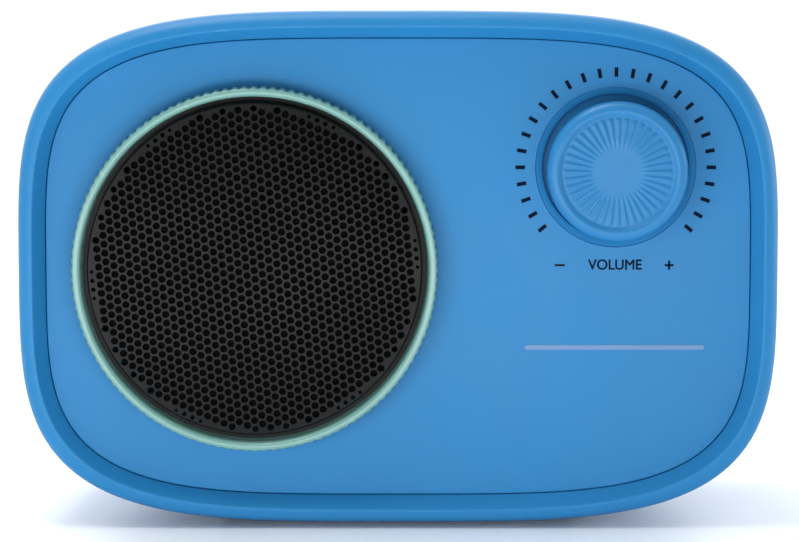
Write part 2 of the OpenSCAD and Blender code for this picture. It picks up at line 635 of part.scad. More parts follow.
module antenna_swivel() color("silver") in_case() difference() {
  at = [aerial[0], aerial[2]];
  union() {
    rod(at, rebate_y + 0.1, 56, swivel_r);
    rod(at, 49.6, rebate_y + 0.2, 2);
    rod(at, 49, 51.6, 3.2);
    intersection() {
      rod(at, 55, case_d, swivel_r);
      for (s = [-1, 1]) translate([aerial[0], 0, aerial[2] + s * 2.6]) {
        translate([0, aerial[1], -0.6]) cylinder(h = 1.2, r = 2.6, $fn = 48);
        block([-2.6, 55.6, -0.6], [2.6, aerial[1], 0.6]);
      }
    }
  }
  translate([aerial[0], aerial[1], aerial[2] - 5]) cylinder(h = 10, r = 0.8, $fn = 32);
}

module antenna_pin() color("silver") in_case()
  translate([aerial[0], aerial[1], aerial[2] - 3.5]) cylinder(h = 7, r = 0.8, $fn = 32);

// Section of the aerial from distance a to distance b out from the elbow
module section(a, b, r, bore = 0) translate([aerial[0] - b, aerial[1], aerial[2]])
  rotate([0, 90, 0]) difference() {
    cylinder(h = b - a, r = r, $fn = 48);
    if (bore > 0) translate([0, 0, -1]) cylinder(h = b - a - 3, r = bore, $fn = 48);
  }

module antenna_outer_tube() color("silver") in_case() {
  difference() {
    union() {
      translate([aerial[0], aerial[1], aerial[2] - 1.8]) cylinder(h = 3.6, r = 2.5, $fn = 48);
      translate([aerial[0] - 5, aerial[1] - 1.8, aerial[2] - 1.8]) cube([5, 3.6, 3.6]);
    }
    translate([aerial[0], aerial[1], aerial[2] - 5]) cylinder(h = 10, r = 0.86, $fn = 32);
  }
  section(4.6, aerial_l - 6, tube_r[0], tube_r[1] + 0.08);
}
module antenna_middle_tube() color("silver") in_case()
  section(9, aerial_l - 4, tube_r[1], tube_r[2] + 0.08);
module antenna_inner_rod() color("silver") in_case() {
  section(13.4, aerial_l - 1, tube_r[2]);
  translate([aerial[0] - aerial_l - 3, aerial[1], aerial[2]]) rotate([0, 90, 0])
    rotate_extrude($fn = 48) polygon([[0, 0], [1.8, 0], [2.7, 0.9], [2.7, 5], [2.2, 5.6], [0, 5.6]]);
}

// ---- Leads ----

module speaker_leads() color("firebrick") in_case() for (s = [-1, 1])
  swept(smooth([[spk[0] + s * 4.5, 32.7, -29.8], [spk[0] + s * 4.5 + 2, 35, -33],
    [-10 + s, 36, -44], [6 + s, 38, -44], [20 + s, 40, -38], [25 + s, 43, -33.5],
    [26 + s, 44.3, -30.5]]), 0.6);

module volume_leads() color("gold") in_case() for (s = [-1, 0, 1])
  swept(smooth([[knob_x + 4 * s, 10.7, 5.9], [knob_x + 3.6 * s, 14.5, 4.4], [knob_x + 2 * s, 24, -2],
    [knob_x + 1.6 * s, 34, -8], [knob_x + 1.6 * s, 42, -9.6], [knob_x + 1.6 * s, 44.9, -9.6]]), 0.5);

module battery_leads() color("crimson") in_case() for (s = [-1, 1])
  swept(smooth([[tray_x[1] + 0.7, 46 + s, -20 + 3 * s], [12, 43 + s, -16 + 3 * s],
    [13, 39, -12 + 3 * s], [16, 37 + s, -8 + 3 * s], [18, 41, -4 + 3 * s], [18, 44.9, -3 + 3 * s]]), 0.6);

module antenna_lead() color("gold") in_case()
  swept(smooth([[aerial[0], 48.6, aerial[2]], [aerial[0] - 1, 46, aerial[2] + 2],
    [aerial[0] - 5, 41, 35], [44, 39, 33], [42, 41, 30.5], [42, 44.6, 28.5]]), 0.6);

cabinet();
front_panel();
back_cover();
battery_door();
trim_ring();
speaker_grille();
grille_cloth();
dial_marks();
volume_legend();
badge_bar();
rubber_feet();
case_screws();
speaker_gasket();
speaker_basket();
speaker_top_plate();
speaker_magnet();
speaker_yoke();
cone_surround();
speaker_cone();
dust_cap();
voice_coil();
speaker_spider();
speaker_terminals();
speaker_screws();
volume_knob();
volume_shaft();
volume_pot();
pot_nut();
main_board();
board_screws();
tuning_capacitor();
tuning_shaft();
tuning_knob();
ferrite_rod();
aerial_coil();
rod_clips();
if_transformers();
transistors();
amplifier_chip();
capacitors();
resistors();
power_switch();
power_slider();
band_switch();
band_slider();
aux_jack();
usb_port();
battery_tray();
battery_cells();
battery_springs();
battery_contacts();
antenna_swivel();
antenna_pin();
antenna_outer_tube();
antenna_middle_tube();
antenna_inner_rod();
speaker_leads();
volume_leads();
battery_leads();
antenna_lead();
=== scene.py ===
"""Looks for the retro-style portable radio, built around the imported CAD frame.

Case units: millimetres, x to the right, y back from the front rim, z up from the middle.
place() turns them into the frame's metres. Radii, depths and widths are in case units; noise
scales, bump depths, light sizes and the camera are in metres.
"""
import json
import math

import bmesh
import bpy
import numpy as np
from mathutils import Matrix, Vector, geometry

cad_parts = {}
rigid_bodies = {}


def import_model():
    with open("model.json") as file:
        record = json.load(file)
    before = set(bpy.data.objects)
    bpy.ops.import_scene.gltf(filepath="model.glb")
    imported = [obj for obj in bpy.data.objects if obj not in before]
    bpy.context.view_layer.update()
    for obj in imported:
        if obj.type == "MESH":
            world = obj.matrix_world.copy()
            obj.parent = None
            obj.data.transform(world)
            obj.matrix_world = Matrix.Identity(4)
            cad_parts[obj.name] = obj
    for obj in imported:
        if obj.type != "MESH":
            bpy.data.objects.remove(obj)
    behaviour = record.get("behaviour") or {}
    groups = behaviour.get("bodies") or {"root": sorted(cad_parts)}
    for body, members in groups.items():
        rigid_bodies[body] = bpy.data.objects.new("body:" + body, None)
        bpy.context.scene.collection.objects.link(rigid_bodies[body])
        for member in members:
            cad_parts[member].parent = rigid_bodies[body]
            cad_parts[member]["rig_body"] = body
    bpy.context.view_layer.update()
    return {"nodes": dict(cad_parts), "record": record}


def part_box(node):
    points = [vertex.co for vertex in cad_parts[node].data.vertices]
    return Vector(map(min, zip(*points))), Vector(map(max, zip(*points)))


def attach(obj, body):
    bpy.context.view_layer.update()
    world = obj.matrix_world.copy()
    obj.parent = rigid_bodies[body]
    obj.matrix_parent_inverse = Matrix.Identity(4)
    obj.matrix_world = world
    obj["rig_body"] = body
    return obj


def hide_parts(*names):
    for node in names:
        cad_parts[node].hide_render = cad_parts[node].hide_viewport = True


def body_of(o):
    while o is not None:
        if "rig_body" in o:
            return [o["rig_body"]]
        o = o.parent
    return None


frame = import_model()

MM = 0.001
ROOT = "radio"

cabinet_low, cabinet_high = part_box("cabinet")
FRONT_Y = cabinet_low.y
MIDDLE_Z = (cabinet_low.z + cabinet_high.z) / 2
HALF_W = cabinet_high.x / MM
HALF_H = (cabinet_high.z - cabinet_low.z) / 2 / MM


def place(x, y, z):
    """A point in case millimetres, in the frame's metres."""
    return Vector((x * MM, FRONT_Y + y * MM, MIDDLE_Z + z * MM))


def case_box(node):
    """A CAD node's lowest and highest corner, in case millimetres."""
    low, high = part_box(node)
    return [(c.x / MM, (c.y - FRONT_Y) / MM, (c.z - MIDDLE_Z) / MM) for c in (low, high)]


def centre(node):
    low, high = case_box(node)
    return [(a + b) / 2 for a, b in zip(low, high)]


# ---- Measures of the case, as the CAD has them ----

SQUARENESS = 3.8
PANEL_SQUARENESS = 4.0
RIM_W = 5.7
CREST_IN = 3.0
RIM_Y = 3.5
TAPER_Y = 6.0
SPLIT_Y = case_box("cabinet")[1][1]
SIDE_SLOPE = math.tan(math.radians(7))
BASE_SLOPE = math.tan(math.radians(1.5))
PANEL_Y = case_box("front_panel")[0][1]
PANEL_T = 2.5
PANEL_BACK = PANEL_Y + PANEL_T
DISH_Y = PANEL_Y + 1.8
SPEAKER_Y = 1.5
WALL = 2.4
SPEAKER = centre("trim_ring")
TRIM_R = 38.6
KNOB = centre("volume_knob")


def narrowing(y):
    """How far the sides have come in at depth y."""
    return SIDE_SLOPE * max(0.0, y - TAPER_Y)


def drop(y):
    """How far the outline's middle has moved down at depth y, as the base slopes less."""
    return (SIDE_SLOPE - BASE_SLOPE) * max(0.0, y - TAPER_Y)


def outline(a, b, n=SQUARENESS, count=480):
    """Points evenly spaced round the rounded outline with half sizes a and b."""
    t = np.linspace(0, 2 * math.pi, 14401)
    c, s = np.cos(t), np.sin(t)
    x = a * np.sign(c) * np.abs(c) ** (2 / n)
    z = b * np.sign(s) * np.abs(s) ** (2 / n)
    along = np.concatenate([[0], np.cumsum(np.hypot(np.diff(x), np.diff(z)))])
    want = np.linspace(0, along[-1], count, endpoint=False)
    return np.stack([np.interp(want, along, x), np.interp(want, along, z)], axis=1)


def case_ring(inset, y, n=SQUARENESS):
    """The case's outline at depth y, moved in by inset."""
    return [(x, y, z - drop(y)) for x, z in outline(HALF_W - inset, HALF_H - inset, n)]


# ---- Mesh helpers ----

class Solid:
    """Collects vertices in case millimetres and faces, and becomes one Blender object."""

    def __init__(self):
        self.points = []
        self.faces = []

    def add(self, points):
        start = len(self.points)
        self.points.extend(tuple(p) for p in points)
        return list(range(start, start + len(points)))

    def bridge(self, a, b):
        """Quads between two closed loops of point numbers; seen from outside b lies behind a."""
        n = len(a)
        for j in range(n):
            k = (j + 1) % n
            self.faces.append((a[j], b[j], b[k], a[k]))

    def loft(self, rings, loop=False):
        """Skin over rings of points; loop joins the last ring to the first."""
        loops = [self.add(r) for r in rings]
        for a, b in zip(loops, loops[1:] + (loops[:1] if loop else [])):
            self.bridge(a, b)
        return loops

    def turn(self, at, profile, steps):
        """Turns a closed profile of [radius, depth] points about the depth axis at (x, z)."""
        self.loft([circle(at, r, y, steps) for r, y in profile], loop=True)

    def sheet_with_holes(self, loops, y, keep, flip=False):
        """Flat sheet at depth y that follows all the loops of (x, z) points. keep(x, z) says
        where there is material. Returns the point numbers of each loop."""
        flat, edges, spans = [], [], []
        for loop in loops:
            start = len(flat)
            flat.extend(Vector((p[0], p[1])) for p in loop)
            spans.append((start, len(loop)))
            edges.extend((start + i, start + (i + 1) % len(loop)) for i in range(len(loop)))
        vertices, _, faces, origin, _, _ = geometry.delaunay_2d_cdt(flat, edges, [], 0, 1e-7)
        numbers = self.add([(v.x, y, v.y) for v in vertices])
        where = {}
        for i, source in enumerate(origin):
            for k in source:
                where[k] = i
        for f in faces:
            middle = sum((vertices[i] for i in f), Vector((0, 0))) / len(f)
            if keep(middle.x, middle.y):
                turned = [numbers[i] for i in f]
                self.faces.append(tuple(turned if flip else reversed(turned)))
        return [[numbers[where[s + i]] for i in range(n)] for s, n in spans]

    def build(self, name, body, material, replaces=(), angle=30):
        mesh = bpy.data.meshes.new(name)
        mesh.from_pydata([place(*p) for p in self.points], [], self.faces)
        mesh.validate()
        return finish_piece(name, mesh, body, material, replaces, angle)


def finish_piece(name, mesh, body, material, replaces=(), angle=30):
    """Makes a mesh in frame metres a visible piece that rides a body, smooth below angle."""
    work = bmesh.new()
    work.from_mesh(mesh)
    bmesh.ops.recalc_face_normals(work, faces=work.faces)
    work.to_mesh(mesh)
    work.free()
    mesh.polygons.foreach_set("use_smooth", [True] * len(mesh.polygons))
    mesh.set_sharp_from_angle(angle=math.radians(angle))
    mesh.materials.clear()
    mesh.materials.append(material)
    piece = bpy.data.objects.new(name, mesh)
    bpy.context.scene.collection.objects.link(piece)
    weigh_normals(piece)
    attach(piece, body)
    if replaces:
        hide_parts(*replaces)
    return piece


def weigh_normals(piece):
    """Lets large faces set the shading normals, so flat faces stay flat up to their fillets."""
    weigh = piece.modifiers.new("weigh", "WEIGHTED_NORMAL")
    weigh.mode = "FACE_AREA"
    weigh.weight = 50
    weigh.keep_sharp = True
    graph = bpy.context.evaluated_depsgraph_get()
    result = bpy.data.meshes.new_from_object(piece.evaluated_get(graph))
    piece.modifiers.clear()
    result.name = piece.data.name
    piece.data = result


def circle(at, r, y, steps):
    return [(at[0] + r * math.cos(a), y, at[1] + r * math.sin(a))
            for a in np.linspace(0, 2 * math.pi, steps, endpoint=False)]


def flat_circle(at, r, steps):
    return [(x, z) for x, _, z in circle(at, r, 0, steps)]


def inside_outline(x, z, a, b, n):
    return abs(x / a) ** n + abs(z / b) ** n < 1


# ---- Materials ----

def new_material(name):
    m = bpy.data.materials.new(name)
    m.use_nodes = True
    nodes, links = m.node_tree.nodes, m.node_tree.links
    return m, nodes, links, nodes["Principled BSDF"]


def noise(nodes, links, scale, detail, stretch=None):
    """Noise in the object's own space; scale is per metre."""
    where = nodes.new("ShaderNodeTexCoord")
    n = nodes.new("ShaderNodeTexNoise")
    n.inputs["Scale"].default_value = scale
    n.inputs["Detail"].default_value = detail
    if stretch is None:
        links.new(where.outputs["Object"], n.inputs["Vector"])
    else:
        m = nodes.new("ShaderNodeMapping")
        m.inputs["Scale"].default_value = stretch
        links.new(where.outputs["Object"], m.inputs["Vector"])
        links.new(m.outputs["Vector"], n.inputs["Vector"])
    return n


def ramp(nodes, links, source, low, high, a, b):
    """Maps source from low..high to the colours a..b."""
    r = nodes.new("ShaderNodeValToRGB")
    r.color_ramp.elements[0].position = low
    r.color_ramp.elements[1].position = high
    r.color_ramp.elements[0].color = (*a, 1)
    r.color_ramp.elements[1].color = (*b, 1)
    links.new(source, r.inputs["Fac"])
    return r


def spread(nodes, links, source, low, high, a, b):
    """Maps source from low..high to the values a..b."""
    r = nodes.new("ShaderNodeMapRange")
    r.inputs["From Min"].default_value = low
    r.inputs["From Max"].default_value = high
    r.inputs["To Min"].default_value = a
    r.inputs["To Max"].default_value = b
    links.new(source, r.inputs["Value"])
    return r


def bump(nodes, links, height, strength, distance):
    b = nodes.new("ShaderNodeBump")
    b.inputs["Strength"].default_value = strength
    b.inputs["Distance"].default_value = distance
    links.new(height, b.inputs["Height"])
    return b


def tint(colour, factor):
    return tuple(min(1.0, c * factor) for c in colour)


def surface(name, colour, rough, metallic=0.0, vary=0.08, patch=45, grain=1400, grain_depth=0.00003,
            rough_vary=0.06, coat=0.0, specular=0.5, edge_wear_and_highlight=None, stretch=None):
    """A solid surface: two close tones in soft patches, uneven gloss and a fine grain.
    The edge colour shows in specks along convex edges: edge wear, together with a painted highlight
    where the edges catch the light."""
    m, nodes, links, p = new_material(name)
    patches = noise(nodes, links, patch, 3)
    tone = ramp(nodes, links, patches.outputs["Fac"], 0.3, 0.7,
                tint(colour, 1 - vary), tint(colour, 1 + vary))
    last = tone.outputs["Color"]
    fine = noise(nodes, links, grain, 5, stretch)
    # paler specks on convex edges: edge wear and a painted edge highlight
    if edge_wear_and_highlight is not None:
        geo = nodes.new("ShaderNodeNewGeometry")
        edge = spread(nodes, links, geo.outputs["Pointiness"], 0.53, 0.62, 0.0, 0.55)
        wear_and_highlight_specks = nodes.new("ShaderNodeMath")
        wear_and_highlight_specks.operation = "MULTIPLY"
        links.new(edge.outputs["Result"], wear_and_highlight_specks.inputs[0])
        links.new(fine.outputs["Fac"], wear_and_highlight_specks.inputs[1])
        mix = nodes.new("ShaderNodeMix")
        mix.data_type = "RGBA"
        links.new(wear_and_highlight_specks.outputs["Value"], mix.inputs["Factor"])
        links.new(last, mix.inputs["A"])
        mix.inputs["B"].default_value = (*edge_wear_and_highlight, 1)
        last = mix.outputs["Result"]
    links.new(last, p.inputs["Base Color"])
    gloss = spread(nodes, links, patches.outputs["Fac"], 0.3, 0.7,
                   max(0.03, rough - rough_vary), min(1.0, rough + rough_vary))
    links.new(gloss.outputs["Result"], p.inputs["Roughness"])
    b = bump(nodes, links, fine.outputs["Fac"], 0.5, grain_depth)
    links.new(b.outputs["Normal"], p.inputs["Normal"])
    p.inputs["Metallic"].default_value = metallic
    p.inputs["Coat Weight"].default_value = coat
    p.inputs["Specular IOR Level"].default_value = specular
    return m


BLUE = (0.020, 0.190, 0.430)
KNOB_BLUE = (0.022, 0.180, 0.410)

# the paler edge colours below are partly edge wear and partly painted edge highlight; the knob's is
# the palest, a painted highlight on its bevel
SURFACES = {
    "cabinet_blue": dict(colour=BLUE, rough=0.42, vary=0.03, grain=2600, grain_depth=0.000012,
                         edge_wear_and_highlight=(0.07, 0.28, 0.52), rough_vary=0.05, specular=0.2),
    "knob_blue": dict(colour=KNOB_BLUE, rough=0.36, vary=0.03, grain=2600, grain_depth=0.00001,
                      edge_wear_and_highlight=(0.1, 0.32, 0.56), rough_vary=0.05, specular=0.25),
    "mint_trim": dict(colour=(0.14, 0.31, 0.28), rough=0.3, vary=0.05, grain=2200,
                      grain_depth=0.000008, coat=0.25, edge_wear_and_highlight=(0.34, 0.5, 0.44)),
    "grille_black": dict(colour=(0.0045, 0.0045, 0.005), rough=0.4, vary=0.15, grain=3500,
                         grain_depth=0.00001, specular=0.15),
    "print_black": dict(colour=(0.001, 0.006, 0.020), rough=0.6, vary=0.2, grain=3000,
                        grain_depth=0.000006, specular=0.05),
    "print_pale": dict(colour=(0.12, 0.23, 0.43), rough=0.5, vary=0.06, grain=3000,
                       grain_depth=0.000006),
    "foot_rubber": dict(colour=(0.018, 0.018, 0.019), rough=0.78, vary=0.2, grain=1800,
                        grain_depth=0.00004, rough_vary=0.1),
    "screw_steel": dict(colour=(0.55, 0.54, 0.50), rough=0.3, metallic=1.0, vary=0.1, grain=2400,
                        grain_depth=0.00001, rough_vary=0.08),
    "basket_steel": dict(colour=(0.03, 0.03, 0.033), rough=0.45, vary=0.15, grain=2600,
                         grain_depth=0.00002, edge_wear_and_highlight=(0.2, 0.2, 0.2)),
    "plate_steel": dict(colour=(0.58, 0.57, 0.53), rough=0.32, metallic=1.0, vary=0.08,
                        grain=900, grain_depth=0.00001, stretch=(1, 1, 12), rough_vary=0.08),
    "ferrite": dict(colour=(0.035, 0.035, 0.038), rough=0.62, vary=0.25, grain=2200,
                    grain_depth=0.00003, edge_wear_and_highlight=(0.12, 0.12, 0.12)),
    "cone_paper": dict(colour=(0.022, 0.022, 0.023), rough=0.85, vary=0.3, patch=300, grain=1500,
                       grain_depth=0.00008, rough_vary=0.08),
    "terminal_board": dict(colour=(0.23, 0.10, 0.035), rough=0.4, vary=0.15, grain=1200,
                           grain_depth=0.00002, coat=0.2),
    "shaft_metal": dict(colour=(0.66, 0.66, 0.65), rough=0.28, metallic=1.0, vary=0.06,
                        grain=900, grain_depth=0.00001, stretch=(1, 14, 1)),
    "shaft_brass": dict(colour=(0.72, 0.5, 0.2), rough=0.28, metallic=1.0, vary=0.08, grain=900,
                        grain_depth=0.00001, stretch=(1, 14, 1)),
    "clear_plastic": dict(colour=(0.66, 0.66, 0.6), rough=0.35, vary=0.06, grain=1500,
                          grain_depth=0.00001, specular=0.6),
    "black_plastic": dict(colour=(0.014, 0.014, 0.015), rough=0.48, vary=0.2, grain=2000,
                          grain_depth=0.00003, edge_wear_and_highlight=(0.07, 0.07, 0.07)),
    "antenna_chrome": dict(colour=(0.78, 0.79, 0.80), rough=0.09, metallic=1.0, vary=0.02,
                           grain=1600, grain_depth=0.000002, rough_vary=0.04),
    "wire_red": dict(colour=(0.42, 0.012, 0.012), rough=0.35, vary=0.08, grain=1200,
                     grain_depth=0.00001),
    "wire_yellow": dict(colour=(0.62, 0.42, 0.02), rough=0.35, vary=0.08, grain=1200,
                        grain_depth=0.00001),
}
MAT = {name: surface(name, **look) for name, look in SURFACES.items()}


WAVE_SCALE = 0.314      # scale times period, in metres, of Blender's wave texture


def woven(name, colour, light, pitch):
    """Woven cloth: two crossed waves."""
    m, nodes, links, p = new_material(name)
    where = nodes.new("ShaderNodeTexCoord")
    waves = []
    for direction in ("X", "Z"):
        w = nodes.new("ShaderNodeTexWave")
        w.bands_direction = direction
        w.inputs["Scale"].default_value = WAVE_SCALE / pitch
        w.inputs["Distortion"].default_value = 0.4
        links.new(where.outputs["Object"], w.inputs["Vector"])
        waves.append(w)
    both = nodes.new("ShaderNodeMath")
    both.operation = "MULTIPLY"
    links.new(waves[0].outputs["Fac"], both.inputs[0])
    links.new(waves[1].outputs["Fac"], both.inputs[1])
    tone = ramp(nodes, links, both.outputs["Value"], 0.0, 1.0, colour, light)
    links.new(tone.outputs["Color"], p.inputs["Base Color"])
    b = bump(nodes, links, both.outputs["Value"], 0.6, pitch * 0.3)
    links.new(b.outputs["Normal"], p.inputs["Normal"])
    p.inputs["Roughness"].default_value = 0.9
    p.inputs["Specular IOR Level"].default_value = 0.05
    return m


def banded(name, axis, period, dark, light, metallic, rough):
    """Fine parallel bands across one axis, such as the turns of a winding."""
    m, nodes, links, p = new_material(name)
    where = nodes.new("ShaderNodeTexCoord")
    w = nodes.new("ShaderNodeTexWave")
    w.bands_direction = axis
    w.inputs["Scale"].default_value = WAVE_SCALE / period
    links.new(where.outputs["Object"], w.inputs["Vector"])
    tone = ramp(nodes, links, w.outputs["Fac"], 0.0, 0.5, dark, light)
    links.new(tone.outputs["Color"], p.inputs["Base Color"])
    b = bump(nodes, links, w.outputs["Fac"], 0.8, period * 0.4)
    links.new(b.outputs["Normal"], p.inputs["Normal"])
    p.inputs["Metallic"].default_value = metallic
    p.inputs["Roughness"].default_value = rough
    return m


def stepped(name, axis, origin, stops, rough=0.35):
    """Colour that changes in clean steps along one axis, from origin in metres. stops are
    (distance in mm, colour), and the last only gives the length."""
    m, nodes, links, p = new_material(name)
    where = nodes.new("ShaderNodeTexCoord")
    split = nodes.new("ShaderNodeSeparateXYZ")
    links.new(where.outputs["Object"], split.inputs["Vector"])
    span = stops[-1][0]
    along = spread(nodes, links, split.outputs[axis], origin, origin + span * MM, 0.0, 1.0)
    r = nodes.new("ShaderNodeValToRGB")
    r.color_ramp.interpolation = "CONSTANT"
    while len(r.color_ramp.elements) < len(stops) - 1:
        r.color_ramp.elements.new(0.5)
    for element, (distance, colour) in zip(r.color_ramp.elements, stops[:-1]):
        element.position = distance / span
        element.color = (*colour, 1)
    links.new(along.outputs["Result"], r.inputs["Fac"])
    fine = noise(nodes, links, 900, 4)
    gloss = spread(nodes, links, fine.outputs["Fac"], 0.3, 0.7, rough - 0.06, rough + 0.06)
    links.new(r.outputs["Color"], p.inputs["Base Color"])
    links.new(gloss.outputs["Result"], p.inputs["Roughness"])
    b = bump(nodes, links, fine.outputs["Fac"], 0.3, 0.00002)
    links.new(b.outputs["Normal"], p.inputs["Normal"])
    p.inputs["Coat Weight"].default_value = 0.3
    return m


def circuit_board(name):
    """Green solder mask with paler tracks and copper pads."""
    m, nodes, links, p = new_material(name)
    where = nodes.new("ShaderNodeTexCoord")
    tracks = nodes.new("ShaderNodeTexVoronoi")
    tracks.distance = "CHEBYCHEV"
    tracks.inputs["Scale"].default_value = 260
    pads = nodes.new("ShaderNodeTexVoronoi")
    pads.inputs["Scale"].default_value = 330
    pads.inputs["Randomness"].default_value = 0.25
    for t in (tracks, pads):
        links.new(where.outputs["Object"], t.inputs["Vector"])
    line = ramp(nodes, links, tracks.outputs["Distance"], 0.34, 0.36,
                (0.006, 0.060, 0.022), (0.012, 0.115, 0.040))
    pad = ramp(nodes, links, pads.outputs["Distance"], 0.12, 0.14, (1, 1, 1), (0, 0, 0))
    mix = nodes.new("ShaderNodeMix")
    mix.data_type = "RGBA"
    links.new(pad.outputs["Color"], mix.inputs["Factor"])
    links.new(line.outputs["Color"], mix.inputs["A"])
    mix.inputs["B"].default_value = (0.62, 0.60, 0.52, 1)
    links.new(mix.outputs["Result"], p.inputs["Base Color"])
    links.new(pad.outputs["Color"], p.inputs["Metallic"])
    b = bump(nodes, links, line.outputs["Color"], 0.3, 0.00005)
    links.new(b.outputs["Normal"], p.inputs["Normal"])
    p.inputs["Roughness"].default_value = 0.3
    p.inputs["Coat Weight"].default_value = 0.4
    return m


TAN = (0.55, 0.36, 0.18)
MAT["cloth_black"] = woven("cloth_black", (0.001, 0.001, 0.001), (0.005, 0.005, 0.005), 0.00035)
MAT["spider_cloth"] = woven("spider_cloth", (0.34, 0.20, 0.05), (0.62, 0.42, 0.16), 0.0005)
MAT["coil_copper"] = banded("coil_copper", "X", 0.00022, (0.25, 0.07, 0.02), (0.72, 0.30, 0.12),
                            metallic=1.0, rough=0.3)
MAT["board_green"] = circuit_board("board_green")
MAT["resistor_tan"] = stepped("resistor_tan", "Z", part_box("resistors")[0].z, [
    (0, (0.6, 0.58, 0.54)), (2.6, TAN), (3.3, (0.30, 0.02, 0.01)), (3.9, TAN),
    (4.5, (0.05, 0.02, 0.25)), (5.1, TAN), (5.7, (0.5, 0.2, 0.01)), (6.3, TAN),
    (7.6, (0.55, 0.4, 0.08)), (8.0, TAN), (8.6, (0.6, 0.58, 0.54)), (12, TAN)])
MAT["capacitor_sleeve"] = stepped("capacitor_sleeve", "Y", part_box("capacitors")[0].y, [
    (0, (0.5, 0.5, 0.5)), (0.7, (0.012, 0.02, 0.09)), (10.5, (0.55, 0.57, 0.6)),
    (11.1, (0.012, 0.02, 0.09)), (14, (0, 0, 0))])
MAT["cell_jacket"] = stepped("cell_jacket", "X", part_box("battery_cells")[0].x, [
    (0, (0.62, 0.62, 0.6)), (2.6, (0.02, 0.022, 0.026)), (15, (0.50, 0.27, 0.06)),
    (16.2, (0.02, 0.022, 0.026)), (33, (0.50, 0.27, 0.06)), (34.2, (0.02, 0.022, 0.026)),
    (47.6, (0.62, 0.62, 0.6)), (52, (0, 0, 0))], rough=0.28)


# ---- Visible pieces ----

def cabinet():
    """Rim and tapered body in one moulding."""
    lip = [(CREST_IN * (1 - math.sin(a)), RIM_Y * (1 - math.cos(a)))
           for a in np.linspace(0.1, math.pi / 2, 16)]
    body = [(narrowing(y), y) for y in np.linspace(TAPER_Y, SPLIT_Y - 0.5, 14)]
    end = narrowing(SPLIT_Y)
    tail = [(end + 0.06, SPLIT_Y - 0.2), (end + 0.35, SPLIT_Y), (end + WALL, SPLIT_Y)]
    inner = [(narrowing(y) + WALL, y) for y in (SPLIT_Y - 12, 24, PANEL_BACK + 2)]
    ledge = RIM_W + 1.1
    pocket = RIM_W - 0.12
    foot = pocket - 0.15
    slope = [(CREST_IN + 0.35 + (foot - CREST_IN - 0.35) * k, 0.5 + (PANEL_Y - 0.9) * k)
             for k in (1.0, 0.75, 0.5, 0.25, 0.0)]
    rings = [case_ring(e, y) for e, y in lip + body + tail + inner]
    rings += [case_ring(ledge, PANEL_BACK + 2), case_ring(ledge, PANEL_BACK)]
    rings += [case_ring(e, y, PANEL_SQUARENESS) for e, y in (
        (pocket, PANEL_BACK), (pocket, PANEL_Y + 0.1), (pocket - 0.05, PANEL_Y - 0.15))]
    share = [(y - 0.5) / (PANEL_Y - 0.9) for _, y in slope]
    rings += [case_ring(e, y, SQUARENESS + 0.2 * k) for (e, y), k in zip(slope, share)]
    rings += [case_ring(CREST_IN + e, y) for e, y in
              ((0.27, 0.36), (0.18, 0.2), (0.07, 0.08), (-0.1, 0.01))]
    s = Solid()
    s.loft(rings, loop=True)
    return s.build("cabinet_shell", ROOT, MAT["cabinet_blue"], ["cabinet"], 35)


